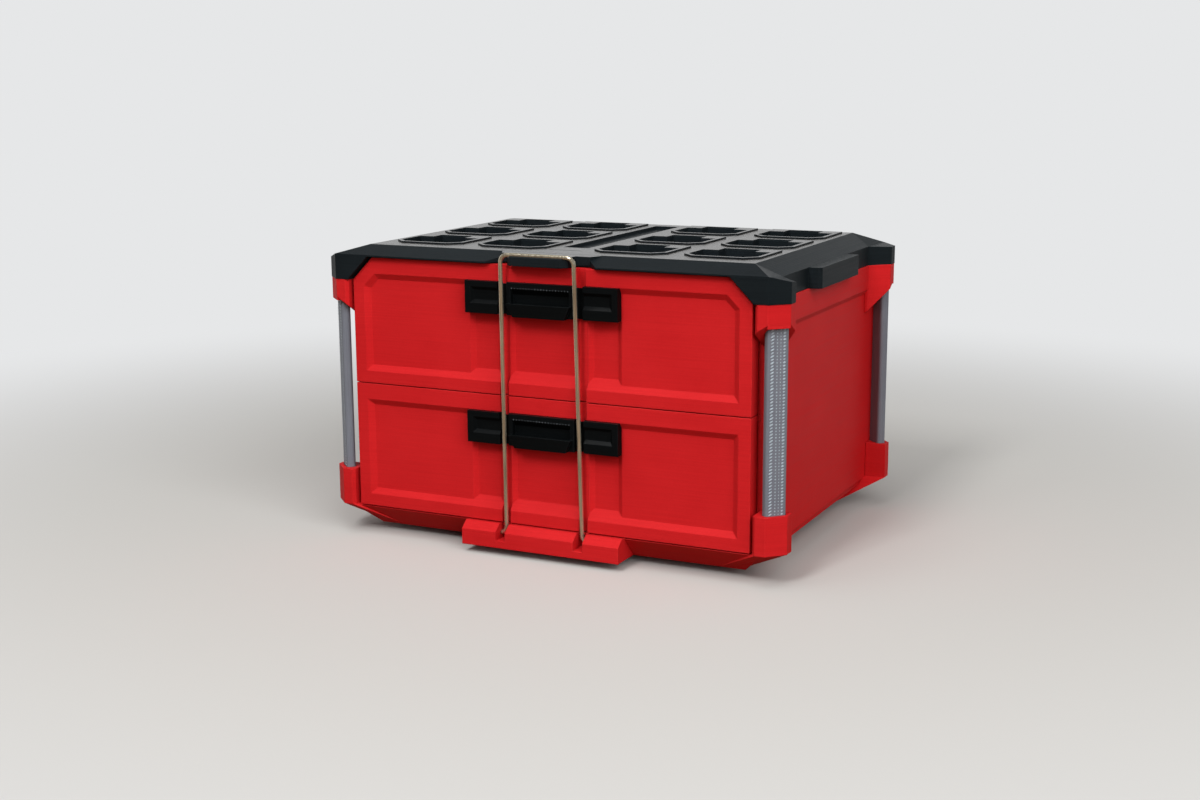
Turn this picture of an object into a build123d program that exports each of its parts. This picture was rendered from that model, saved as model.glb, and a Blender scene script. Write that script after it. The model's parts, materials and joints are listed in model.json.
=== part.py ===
import os
from math import atan, degrees, sqrt

from build123d import *

os.makedirs("parts", exist_ok=True)

# Sizes in millimetres: X to the right, the front faces -Y, Z up, the pads stand on Z = 0
lid_width = 141.2
lid_depth = 104.0
front_overhang = 1.7  # lid edge ahead of the drawer fronts
side_overhang = 6.6  # lid edge outside the side walls
rear_overhang = 5.3  # lid edge behind the back wall
front_reach = 3.9  # catch tongue and hinge block ahead of the drawer fronts
run_gap = 0.4  # around a sliding drawer
glue_gap = 0.1  # between tongues and grooves of printed pieces

# Base pan
foot_height = 2.4
pan_chamfer = 6.3

# Carcass
wall = 3.0
back_wall = 2.6
front_gap = 0.6  # behind the drawer fronts
band_drop = 6.8  # top of the band below the top of the drawer opening
band_height = 8.3
band_proud = 1.2
band_edge = 1.1
tongue_wide = 1.2
tongue_deep = 1.8
tongue_in = 5.0  # tongues stop short of the ends of the walls

# Corner posts and their brackets
bracket_inset = 0.1
bracket_width = 8.3
bracket_length = 8.2
bracket_facet = 4.6
bracket_edge = 0.8
cup_height = 10.6
cup_floor = 1.4
flare = 5.4  # bracket spreading out of the band
under_drop = 5.3  # bracket underside below the band's top, at the corner facet
under_slope = 0.85
post_width = 6.2
post_thick = 2.7
post_round = 1.0
post_in_x = 3.8
post_in_y = 4.6
post_gap = 0.15
post_cover = 1.4

# Drawers
front_side = 2.9  # ends of the drawer fronts inside the outer faces of the walls
front_thick = 4.8
front_height = 36.5
seam = 0.3
upper_corner_cut = 6.5
tray_wall = 1.8
tray_floor = 1.6
shelf_thick = 1.6
shelf_groove = 0.8
rail_height = 0.3
rail_width = 5.0
rail_in = 13.0
stop_size = 3.0
stop_out = 1.0
stop_root = 0.5
stop_in = 5.0
stop_gap = 0.2
stop_back = 17.6  # tray left inside the box when its grooves meet the stops
border_side = 3.5
border_low = 3.5
border_top = 4.6
panel_corner_cut = 3.6
panel_depth = 1.2
panel_run = 1.7
deep_depth = 2.2
deep_run = 3.1
deep_half = 25.1
deep_cover = 4.3  # middle recesses running up behind the pull

# Lock bar channels down the drawer fronts
channel_x = 12.1
channel_width = 2.6
channel_depth = 1.3
rib_overlap = 0.4

# Pulls
pull_half = 23.4
pull_height = 9.1
pull_proud = 1.4
pull_seat = 0.05
pull_channel_in = 10.2
pull_channel_out = 13.1
pull_channel_floor = 0.4
frame_out = 21.7
frame_low = 2.8
frame_high = 7.4
frame_depth = 0.9
lip_half = 9.7
lip_reach = 3.0
lip_rake = 0.5
lip_taper = 1.8
lip_wall = 0.7
lip_drop = 0.3
lip_top = 3.4
scoop_high = 7.5
scoop_drop = 1.2
scoop_in = 0.5
peg_radius = 1.2
peg_length = 3.0
peg_x = 17.6
peg_up = 5.5

# Lock bar
wire_radius = 0.6
pivot_gap = 0.05
pivot_ahead = 0.3  # pivot ahead of the drawer fronts
pivot_down = 3.0  # pivot below the drawer fronts
bar_top_ahead = 2.8
bar_over = 0.1  # middle of the top bar above the lid
bar_bottom_half = 11.9
bar_top_half = 11.2
bar_bend = 2.2
stub_length = 3.6

# Hinge block
block_half = 24.5
block_nose_low = 2.15
block_top_ahead = 1.4
block_top_down = 0.15
slot_in = 10.7
slot_out = 13.6
slot_floor = 4.6
slot_back = 0.7
block_peg_x = 18.5
block_peg_up = 1.9
block_peg_length = 6.0

# Lid
lid_rise = 9.5
lid_plate = 6.1
plateau_side = 11.4  # sloped edges, measured in from the sides, front and back of the lid
plateau_front = 8.2
plateau_rear = 11.6
lid_front_edge = 0.5
side_recess_in = 5.7
side_rise = 5.75
boss_length = 8.0
boss_facet = 4.6
boss_gap = 0.7
boss_rise = 5.3
pad_in = 2.0
pad_half = 17.3
pad_edge = 0.8
rear_recess = 4.6
rear_pad_gap = 20.8
rear_pad_half = 11.0
pocket_mid = 8.6  # lands around and between the pockets
pocket_rib = 7.1
pocket_side = 3.5
pocket_front = 8.4
pocket_row_rib = 8.5
pocket_rear = 3.6
pocket_depth = 5.0
pocket_cut = 3.0
ledge_width = 4.6
ledge_length = 5.0
rim_offset = 0.5
rim_width = 0.5
rim_depth = 0.4
trough_half = 3.9
trough_front = 14.5
trough_rear = 4.7
trough_depth = 1.0
score_half = 5.1
score_in = 7.7
score_width = 0.5
notch_half_front = 17.0
notch_half_back = 13.5
notch_depth = 4.2
tongue_half = 9.3
tongue_lip = 0.45
tongue_clear = 0.1
tongue_bevel = 1.6
lid_peg_length = 8.0
lid_peg_wide = 1.6
lid_peg_deep = 1.5
lid_peg_in = 24.0

# Positions that follow from the sizes
front_y = (front_reach + front_overhang - lid_depth) / 2
lid_front = front_y - front_overhang
lid_half = lid_width / 2
lid_half_y = lid_depth / 2
mid_y = lid_front + lid_half_y
carcass_half = lid_half - side_overhang
back_y = lid_front + lid_depth - rear_overhang
carcass_depth = back_y - front_y
wall_front = front_y + front_thick + front_gap
wall_mid_y = (wall_front + back_y) / 2
wall_length = back_y - wall_front
inner_half = carcass_half - wall
inner_back = back_y - back_wall
side_tongue = wall_length - 2 * tongue_in
back_tongue = 2 * (inner_half - tongue_in)
front_half = carcass_half - front_side
rail_x = inner_half - rail_in
pan_top = foot_height + pan_chamfer
lower_z = pan_top + rail_height + glue_gap
upper_z = lower_z + front_height + seam
shelf_top = upper_z - rail_height - glue_gap
shelf_low = shelf_top - shelf_thick
opening_top = upper_z + front_height + seam
band_top = opening_top - band_drop
band_low = band_top - band_height
lid_top = band_top + lid_rise
lid_under = lid_top - lid_plate
bracket_x = lid_half - bracket_inset
bracket_y = lid_half_y - bracket_inset
post_x = bracket_x - post_in_x
post_y = bracket_y - post_in_y
post_low = lower_z + cup_floor
post_high = band_top - post_cover
wall_line = carcass_half - wall / 2
back_line = back_y - back_wall / 2
pivot_y = front_y - pivot_ahead
pivot_z = lower_z - pivot_down
bar_top_z = lid_top + bar_over
tray_half = inner_half - run_gap
tray_back = inner_back - run_gap
stop_y = wall_front + stop_in
travel = tray_back - stop_back - stop_y
panel_top = front_height - border_top
pull_low = panel_top - pull_height
deep_top = pull_low + deep_cover
slot_mid = (slot_in + slot_out) / 2
corners = [(sx, sy) for sx in (-1, 1) for sy in (-1, 1)]

# Lid outlines
plateau_half = lid_half - plateau_side
side_recess = lid_half - side_recess_in
boss_inner = front_half + boss_gap
boss_nose = lid_half - boss_facet
boss_end = lid_half_y - boss_length
recess_end = boss_end - side_recess_in
pad_out = lid_half - pad_in
rear_pad_x = boss_inner - rear_pad_gap - rear_pad_half
lid_peg_y = lid_half_y - lid_peg_in
plateau_low_y = lid_front + plateau_front
plateau_high_y = lid_front + lid_depth - plateau_rear
pocket_width = (plateau_half - pocket_mid - pocket_rib - pocket_side) / 2
pocket_rows_length = plateau_high_y - plateau_low_y - pocket_front - pocket_rear
pocket_length = (pocket_rows_length - 2 * pocket_row_rib) / 3
pocket_inner = pocket_mid + pocket_width / 2
pocket_outer = pocket_inner + pocket_width + pocket_rib
pocket_first = plateau_low_y + pocket_front + pocket_length / 2
pocket_rows = [pocket_first + k * (pocket_length + pocket_row_rib) for k in (0, 1, 2)]
pocket_columns = (-pocket_outer, -pocket_inner, pocket_inner, pocket_outer)
pocket_places = [(x, y) for x in pocket_columns for y in pocket_rows]
# cut front corners, and a ledge left standing in each rear corner
pocket_border = [
    (-pocket_width / 2, pocket_cut - pocket_length / 2),
    (pocket_cut - pocket_width / 2, -pocket_length / 2),
    (pocket_width / 2 - pocket_cut, -pocket_length / 2),
    (pocket_width / 2, pocket_cut - pocket_length / 2),
]
pocket_rim = pocket_border + [
    (pocket_width / 2, pocket_length / 2),
    (-pocket_width / 2, pocket_length / 2),
]
pocket = pocket_border + [
    (pocket_width / 2, pocket_length / 2 - ledge_length),
    (pocket_width / 2 - ledge_width, pocket_length / 2 - ledge_length),
    (pocket_width / 2 - ledge_width, pocket_length / 2),
    (ledge_width - pocket_width / 2, pocket_length / 2),
    (ledge_width - pocket_width / 2, pocket_length / 2 - ledge_length),
    (-pocket_width / 2, pocket_length / 2 - ledge_length),
]

# Bracket outlines for the corner at +X and +Y, measured from the middle of the lid
bracket_tip = [
    (bracket_x - bracket_width, bracket_y - bracket_edge),
    (bracket_x - bracket_width + bracket_edge, bracket_y),
    (bracket_x - bracket_facet, bracket_y),
    (bracket_x, bracket_y - bracket_facet),
    (bracket_x, bracket_y - bracket_length),
]
cup_outline = bracket_tip + [(bracket_x - bracket_width, bracket_y - bracket_length)]
flared_outline = bracket_tip + [
    (bracket_x - flare, bracket_y - bracket_length - flare),
    (bracket_x - bracket_width, bracket_y - bracket_length - flare),
]
# The cups' undersides run in to the lower edge of the pan
lean_x = bracket_x - carcass_half + pan_chamfer
lean_front = bracket_y - mid_y + front_y + pan_chamfer
lean_back = bracket_y + mid_y - back_y + pan_chamfer
# The upper brackets' undersides fall away inwards along the corner's diagonal
facet_reach = (bracket_x + bracket_y - bracket_facet) / sqrt(2)
under_run = bracket_width + bracket_length + flare
under_top = band_top - under_drop
under_high = under_top + bracket_width * under_slope
under_low = under_top - under_run * under_slope


# moves each side of a counter-clockwise outline inwards
def inset(points, amount):
    moved = []
    count = len(points)
    for i in range(count):
        (ax, ay), (bx, by), (cx, cy) = points[i - 1], points[i], points[(i + 1) % count]
        ux, uy = bx - ax, by - ay
        vx, vy = cx - bx, cy - by
        ul, vl = sqrt(ux * ux + uy * uy), sqrt(vx * vx + vy * vy)
        px, py = ax - uy / ul * amount, ay + ux / ul * amount
        qx, qy = bx - vy / vl * amount, by + vx / vl * amount
        t = ((qx - px) * vy - (qy - py) * vx) / (ux * vy - uy * vx)
        moved.append((px + ux * t, py + uy * t))
    return moved


# the plane through three points, facing up
def slope_through(a, b, c):
    first = Vector(*b) - Vector(*a)
    normal = first.cross(Vector(*c) - Vector(*a))
    return Plane(origin=a, x_dir=first, z_dir=normal if normal.Z > 0 else -normal)


# Base pan: chamfered floor, a cup at each corner, and pads that drop into the lid of a box below
with BuildPart() as base_pan:
    with BuildSketch(Plane.XY.offset(foot_height)):
        with Locations((0, (front_y + back_y) / 2)):
            Rectangle(2 * (carcass_half - pan_chamfer), carcass_depth - 2 * pan_chamfer)
    with BuildSketch(Plane.XY.offset(pan_top)):
        with Locations((0, (front_y + back_y) / 2)):
            Rectangle(2 * carcass_half, carcass_depth)
    loft()
    for sx, sy in corners:
        cup = [(sx * x, mid_y + sy * y) for x, y in cup_outline]
        lean_y = lean_front if sy < 0 else lean_back
        with BuildSketch(Plane.XY.offset(foot_height)):
            Polygon(*[(x - sx * lean_x, y - sy * lean_y) for x, y in cup], align=None)
        with BuildSketch(Plane.XY.offset(lower_z)):
            Polygon(*cup, align=None)
        loft()
        with BuildSketch(Plane.XY.offset(lower_z)):
            Polygon(*cup, align=None)
        extrude(amount=cup_height)
    # the walls stand inside the cups
    with BuildSketch(Plane.XY.offset(pan_top)):
        with Locations((0, wall_mid_y)):
            Rectangle(2 * (carcass_half + glue_gap), wall_length + 2 * glue_gap)
    extrude(amount=cup_height + pan_chamfer, mode=Mode.SUBTRACT)
    # post sockets
    with BuildSketch(Plane.XY.offset(post_low)):
        for sx, sy in corners:
            with Locations(Location((sx * post_x, mid_y + sy * post_y, 0), (0, 0, -45 * sx * sy))):
                RectangleRounded(
                    post_width + 2 * post_gap, post_thick + 2 * post_gap, post_round + post_gap
                )
    extrude(amount=cup_height, mode=Mode.SUBTRACT)
    # grooves for the walls' tongues
    with BuildSketch(Plane.XY.offset(pan_top)):
        with Locations((-wall_line, wall_mid_y), (wall_line, wall_mid_y)):
            Rectangle(tongue_wide + 2 * glue_gap, side_tongue + 2 * glue_gap)
        with Locations((0, back_line)):
            Rectangle(back_tongue + 2 * glue_gap, tongue_wide + 2 * glue_gap)
    extrude(amount=-tongue_deep - glue_gap, mode=Mode.SUBTRACT)
    # runners under the lower drawer
    with BuildSketch(Plane.XY.offset(pan_top)):
        with Locations((-rail_x, wall_mid_y), (rail_x, wall_mid_y)):
            Rectangle(rail_width, wall_length - 2 * back_wall)
    extrude(amount=rail_height)
    # sockets for the hinge block's pegs
    with BuildSketch(Plane.XZ.offset(-front_y)):
        with Locations(
            (-block_peg_x, foot_height + block_peg_up), (block_peg_x, foot_height + block_peg_up)
        ):
            Circle(peg_radius + glue_gap)
    extrude(amount=-pan_chamfer - block_peg_length - glue_gap, mode=Mode.SUBTRACT)
    # notches in the front edge behind the legs of the lock bar
    with BuildSketch(Plane.XY.offset(pan_top)):
        with Locations((-slot_mid, front_y), (slot_mid, front_y)):
            Rectangle(slot_out - slot_in, 2 * slot_back)
    extrude(amount=-pan_chamfer, mode=Mode.SUBTRACT)
    # stacking pads
    with BuildSketch(Plane.XY.offset(foot_height)):
        with Locations(*pocket_places):
            Polygon(*inset(pocket, run_gap), align=None)
    extrude(amount=-foot_height)
base_pan.part.label = "base_pan"
export_step(base_pan.part, "parts/base_pan.step")

# Hinge block, glued to the front chamfer of the pan, with a slot for each leg of the lock bar
with BuildPart() as hinge_block:
    with BuildSketch(Plane.YZ.offset(-block_half)):
        Polygon(
            (front_y - front_reach, foot_height),
            (front_y + pan_chamfer, foot_height),
            (front_y, pan_top),
            (front_y - block_top_ahead, lower_z - block_top_down),
            (front_y - front_reach, lower_z - block_nose_low),
            align=None,
        )
    extrude(amount=2 * block_half)
    with BuildSketch(Plane.XZ.offset(-front_y + front_reach)):
        with Locations(
            (-block_peg_x, foot_height + block_peg_up), (block_peg_x, foot_height + block_peg_up)
        ):
            Circle(peg_radius)
    extrude(amount=-front_reach - pan_chamfer - block_peg_length)
    for sx in (-1, 1):
        with BuildSketch(Plane.YZ.offset(sx * slot_mid - (slot_out - slot_in) / 2)):
            Polygon(
                (front_y - front_reach, lower_z - slot_floor),
                (front_y + slot_back, lower_z - slot_floor),
                (front_y + slot_back, lower_z),
                (front_y - front_reach, lower_z),
                align=None,
            )
        extrude(amount=slot_out - slot_in, mode=Mode.SUBTRACT)
        with BuildSketch(Plane.YZ.offset(sx * slot_mid)):
            with Locations((pivot_y, pivot_z)):
                Circle(wire_radius + pivot_gap)
        extrude(amount=sx * (bar_bottom_half + stub_length + glue_gap - slot_mid), mode=Mode.SUBTRACT)
hinge_block.part.label = "hinge_block"
export_step(hinge_block.part, "parts/hinge_block.step")

# Side walls, with a groove for the shelf and the drawer stops
for side, sx in (("left", -1), ("right", 1)):
    with BuildPart() as side_wall:
        with BuildSketch(Plane.XY.offset(pan_top)):
            with Locations((sx * wall_line, wall_mid_y)):
                Rectangle(wall, wall_length)
        extrude(amount=band_low - pan_top)
        with BuildSketch(Plane.XY.offset(pan_top - tongue_deep)):
            with Locations((sx * wall_line, wall_mid_y)):
                Rectangle(tongue_wide, side_tongue)
        extrude(amount=band_low - pan_top + 2 * tongue_deep)
        with Locations((sx * inner_half, wall_mid_y, shelf_low + shelf_thick / 2)):
            Box(2 * shelf_groove, wall_length + wall, shelf_thick + 2 * glue_gap, mode=Mode.SUBTRACT)
        with Locations((sx * inner_half, back_line, (pan_top + band_low) / 2)):
            Box(2 * shelf_groove, back_wall + 2 * glue_gap, band_low, mode=Mode.SUBTRACT)
        for z in (lower_z, upper_z):
            with Locations((sx * (inner_half - (stop_out - stop_root) / 2), stop_y, z + front_height / 2)):
                Box(stop_out + stop_root, stop_size, stop_size)
    side_wall.part.label = f"side_wall_{side}"
    export_step(side_wall.part, f"parts/side_wall_{side}.step")

# Back wall, let into the side walls
with BuildPart() as rear_wall:
    with BuildSketch(Plane.XY.offset(pan_top)):
        with Locations((0, back_line)):
            Rectangle(2 * (inner_half + shelf_groove - glue_gap), back_wall)
    extrude(amount=band_low - pan_top)
    with BuildSketch(Plane.XY.offset(pan_top - tongue_deep)):
        with Locations((0, back_line)):
            Rectangle(back_tongue, tongue_wide)
    extrude(amount=band_low - pan_top + 2 * tongue_deep)
rear_wall.part.label = "back_wall"
export_step(rear_wall.part, "parts/back_wall.step")

# Shelf between the drawers, with runners
with BuildPart() as shelf:
    shelf_length = inner_back - glue_gap - wall_front
    with BuildSketch(Plane.XY.offset(shelf_low)):
        with Locations((0, wall_front + shelf_length / 2)):
            Rectangle(2 * (inner_half + shelf_groove - glue_gap), shelf_length)
    extrude(amount=shelf_thick)
    with BuildSketch(Plane.XY.offset(shelf_top)):
        with Locations((-rail_x, wall_mid_y), (rail_x, wall_mid_y)):
            Rectangle(rail_width, wall_length - 2 * back_wall)
    extrude(amount=rail_height)
shelf.part.label = "shelf"
export_step(shelf.part, "parts/shelf.step")

# Top frame: the band round the sides and back, and the four upper brackets
with BuildPart() as top_frame:
    with BuildSketch(Plane.XY.offset(band_low)):
        with Locations((0, (wall_front + back_y + band_proud) / 2)):
            Rectangle(2 * (carcass_half + band_proud), wall_length + band_proud)
    extrude(amount=band_height)
    chamfer(top_frame.edges().group_by(Axis.Z)[0].sort_by(Axis.Y)[1:], band_edge)
    for sx, sy in corners:
        with BuildSketch(Plane.XY.offset(under_low)):
            Polygon(*[(sx * x, mid_y + sy * y) for x, y in flared_outline], align=None)
        extrude(amount=band_top - under_low)
    for sx, sy in corners:
        with BuildSketch(Plane(origin=(0, mid_y, 0), x_dir=(sx, sy, 0), z_dir=(sy, -sx, 0))):
            Polygon(
                (facet_reach - under_run, under_low),
                (facet_reach + bracket_width, under_high),
                (facet_reach + bracket_width, under_low - wall),
                (facet_reach - under_run, under_low - wall),
                align=None,
            )
        extrude(amount=under_run, both=True, mode=Mode.SUBTRACT)
    # room for the walls below the band, and for the upper drawer inside it
    with BuildSketch(Plane.XY.offset(band_low)):
        with Locations((0, wall_mid_y)):
            Rectangle(2 * (carcass_half + glue_gap), wall_length + 2 * glue_gap)
    extrude(amount=-band_low, mode=Mode.SUBTRACT)
    with BuildSketch(Plane.XY.offset(band_low)):
        with Locations((0, (lid_front + inner_back) / 2)):
            Rectangle(2 * inner_half, inner_back - lid_front)
    extrude(amount=band_height, mode=Mode.SUBTRACT)
    # grooves for the walls' tongues
    with BuildSketch(Plane.XY.offset(band_low)):
        with Locations((-wall_line, wall_mid_y), (wall_line, wall_mid_y)):
            Rectangle(tongue_wide + 2 * glue_gap, side_tongue + 2 * glue_gap)
        with Locations((0, back_line)):
            Rectangle(back_tongue + 2 * glue_gap, tongue_wide + 2 * glue_gap)
    extrude(amount=tongue_deep + glue_gap, mode=Mode.SUBTRACT)
    # post sockets
    with BuildSketch(Plane.XY.offset(post_high + glue_gap)):
        for sx, sy in corners:
            with Locations(Location((sx * post_x, mid_y + sy * post_y, 0), (0, 0, -45 * sx * sy))):
                RectangleRounded(
                    post_width + 2 * post_gap, post_thick + 2 * post_gap, post_round + post_gap
                )
    extrude(amount=under_low - post_high, mode=Mode.SUBTRACT)
    # sockets for the lid's pegs
    with BuildSketch(Plane.XY.offset(band_top)):
        with GridLocations(2 * wall_line, 2 * lid_peg_y, 2, 2):
            Rectangle(lid_peg_wide + 2 * glue_gap, lid_peg_length + 2 * glue_gap)
    extrude(amount=-lid_peg_deep - glue_gap, mode=Mode.SUBTRACT)
top_frame.part.label = "top_frame"
export_step(top_frame.part, "parts/top_frame.step")

# Corner posts, broad side outwards
for name, sx, sy in (
    ("post_front_left", -1, -1),
    ("post_front_right", 1, -1),
    ("post_rear_left", -1, 1),
    ("post_rear_right", 1, 1),
):
    with BuildPart() as post:
        with BuildSketch(Plane.XY.offset(post_low)):
            with Locations(Location((sx * post_x, mid_y + sy * post_y, 0), (0, 0, -45 * sx * sy))):
                RectangleRounded(post_width, post_thick, post_round)
        extrude(amount=post_high - post_low)
    post.part.label = name
    export_step(post.part, f"parts/{name}.step")

# The lid's sloped sides, and its corners, where the slopes, the bosses and the recessed sides meet
side_cuts = []
corner_cuts = []
bosses = []
for sx in (-1, 1):
    side_slope = slope_through(
        (sx * plateau_half, plateau_low_y, lid_top),
        (sx * plateau_half, plateau_high_y, lid_top),
        (sx * side_recess, mid_y, band_top + side_rise),
    )
    with BuildPart() as side_cut:
        with BuildSketch(Plane.XY.offset(band_top)):
            Polygon(
                (sx * plateau_half, plateau_low_y),
                (sx * side_recess, mid_y - recess_end),
                (sx * side_recess, mid_y + recess_end),
                (sx * plateau_half, plateau_high_y),
                align=None,
            )
        extrude(amount=lid_rise + wall)
        split(bisect_by=side_slope, keep=Keep.TOP)
    side_cuts.append(side_cut.part)
    for sy, high_y, edge in (
        (-1, plateau_low_y, opening_top + lid_front_edge),
        (1, plateau_high_y, band_top + side_rise),
    ):
        high = (sx * plateau_half, high_y, lid_top)
        nose = (sx * boss_nose, mid_y + sy * lid_half_y, edge)
        root = (sx * side_recess, mid_y + sy * recess_end, band_top + side_rise)
        tip = (sx * lid_half, mid_y + sy * boss_end, band_top + boss_rise)
        with BuildPart() as corner_cut:
            with BuildSketch(Plane.XY.offset(band_top)):
                Polygon(high[:2], nose[:2], root[:2], align=None)
            extrude(amount=lid_rise + wall)
            split(bisect_by=slope_through(high, nose, root), keep=Keep.TOP)
        corner_cuts.append(corner_cut.part)
        with BuildPart() as boss:
            with BuildSketch(Plane.XY.offset(band_top)):
                Polygon(
                    nose[:2],
                    (sx * lid_half, mid_y + sy * (lid_half_y - boss_facet)),
                    tip[:2],
                    root[:2],
                    align=None,
                )
            extrude(amount=lid_rise)
            split(bisect_by=slope_through(nose, root, tip), keep=Keep.BOTTOM)
        bosses.append(boss.part)

# Lid: sloped edges, corner bosses, side pads, stacking pockets and the catch tongue
with BuildPart() as lid:
    with BuildSketch(Plane.XY.offset(band_top)):
        Polygon(
            (-boss_nose, mid_y - lid_half_y),
            (boss_nose, mid_y - lid_half_y),
            (side_recess, mid_y - recess_end),
            (side_recess, mid_y + recess_end),
            (boss_nose, mid_y + lid_half_y),
            (-boss_nose, mid_y + lid_half_y),
            (-side_recess, mid_y + recess_end),
            (-side_recess, mid_y - recess_end),
            align=None,
        )
    extrude(amount=lid_rise)
    add(side_cuts, mode=Mode.SUBTRACT)
    add(corner_cuts, mode=Mode.SUBTRACT)
    add(bosses)
    for sy, run, edge in (
        (-1, plateau_front, opening_top + lid_front_edge),
        (1, plateau_rear, band_top + side_rise),
    ):
        with BuildSketch(Plane.YZ):
            Polygon(
                (mid_y + sy * (lid_half_y - run), lid_top),
                (mid_y + sy * lid_half_y, edge),
                (mid_y + sy * (lid_half_y + wall), edge),
                (mid_y + sy * (lid_half_y + wall), lid_top + wall),
                (mid_y + sy * (lid_half_y - run), lid_top + wall),
                align=None,
            )
        extrude(amount=lid_half, both=True, mode=Mode.SUBTRACT)
    # recesses in the back, and the pads on the sides
    with BuildSketch(Plane.XY.offset(band_top)):
        for sx in (-1, 1):
            with Locations((sx * (boss_inner - rear_pad_gap / 2), mid_y + lid_half_y)):
                Rectangle(rear_pad_gap, 2 * rear_recess)
        with Locations((0, mid_y + lid_half_y)):
            Rectangle(2 * (rear_pad_x - rear_pad_half), 2 * rear_recess)
    extrude(amount=lid_rise, mode=Mode.SUBTRACT)
    for sx in (-1, 1):
        with BuildSketch(Plane.XY.offset(band_top)):
            Polygon(
                (sx * inner_half, mid_y - pad_half),
                (sx * (pad_out - pad_edge), mid_y - pad_half),
                (sx * pad_out, mid_y - pad_half + pad_edge),
                (sx * pad_out, mid_y + pad_half - pad_edge),
                (sx * (pad_out - pad_edge), mid_y + pad_half),
                (sx * inner_half, mid_y + pad_half),
                align=None,
            )
        extrude(amount=side_rise)
    # room for the upper drawer, and for its front between the bosses
    with BuildSketch(Plane.XY.offset(band_top)):
        with Locations((0, (wall_front + inner_back) / 2)):
            Rectangle(2 * inner_half, inner_back - wall_front)
    extrude(amount=lid_under - band_top, mode=Mode.SUBTRACT)
    with BuildSketch(Plane.XZ.offset(-wall_front)):
        Polygon(
            (-boss_inner, band_top - wall),
            (boss_inner, band_top - wall),
            (boss_inner, opening_top - upper_corner_cut),
            (boss_inner - upper_corner_cut, opening_top),
            (upper_corner_cut - boss_inner, opening_top),
            (-boss_inner, opening_top - upper_corner_cut),
            align=None,
        )
    extrude(amount=wall_front - lid_front + wall, mode=Mode.SUBTRACT)
    # stacking pockets with a scored rim
    with BuildSketch(Plane.XY.offset(lid_top)):
        with Locations(*pocket_places):
            Polygon(*pocket, align=None)
    extrude(amount=-pocket_depth, mode=Mode.SUBTRACT)
    with BuildSketch(Plane.XY.offset(lid_top)):
        with Locations(*pocket_places):
            Polygon(*inset(pocket_rim, -rim_offset - rim_width), align=None)
        with Locations(*pocket_places):
            Polygon(*inset(pocket_rim, -rim_offset), align=None, mode=Mode.SUBTRACT)
        with Locations((0, plateau_low_y + score_in)):
            Rectangle(2 * score_half, score_width)
    extrude(amount=-rim_depth, mode=Mode.SUBTRACT)
    with BuildSketch(Plane.XY.offset(lid_top)):
        with Locations((0, (plateau_low_y + trough_front + plateau_high_y - trough_rear) / 2)):
            Rectangle(2 * trough_half, plateau_high_y - trough_rear - plateau_low_y - trough_front)
    extrude(amount=-trough_depth, mode=Mode.SUBTRACT)
    # notch in the front edge, and the tongue that the lock bar snaps over
    with BuildSketch(Plane.XY.offset(opening_top)):
        Polygon(
            (-notch_half_front, lid_front),
            (notch_half_front, lid_front),
            (notch_half_back, lid_front + notch_depth),
            (-notch_half_back, lid_front + notch_depth),
            align=None,
        )
    extrude(amount=lid_rise, mode=Mode.SUBTRACT)
    tongue_floor = bar_top_z - wire_radius - tongue_clear
    tongue_front = front_y - front_reach
    with BuildSketch(Plane.YZ.offset(-tongue_half)):
        Polygon(
            (lid_front + notch_depth, opening_top),
            (lid_front + notch_depth, tongue_floor),
            (tongue_front + tongue_lip, tongue_floor),
            (tongue_front + tongue_lip, tongue_floor + tongue_lip),
            (tongue_front, tongue_floor + tongue_lip / 2),
            (tongue_front, opening_top),
            align=None,
        )
    extrude(amount=2 * tongue_half)
    with BuildSketch(Plane.XY.offset(opening_top)):
        for sx in (-1, 1):
            Polygon(
                (sx * tongue_half, tongue_front),
                (sx * (tongue_half - tongue_bevel), tongue_front),
                (sx * tongue_half, tongue_front + tongue_bevel),
                align=None,
            )
    extrude(amount=lid_rise, mode=Mode.SUBTRACT)
    # pegs that locate the lid on the band
    with BuildSketch(Plane.XY.offset(band_top)):
        with GridLocations(2 * wall_line, 2 * lid_peg_y, 2, 2):
            Rectangle(lid_peg_wide, lid_peg_length)
    extrude(amount=-lid_peg_deep)
lid.part.label = "lid"
export_step(lid.part, "parts/lid.step")

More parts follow.
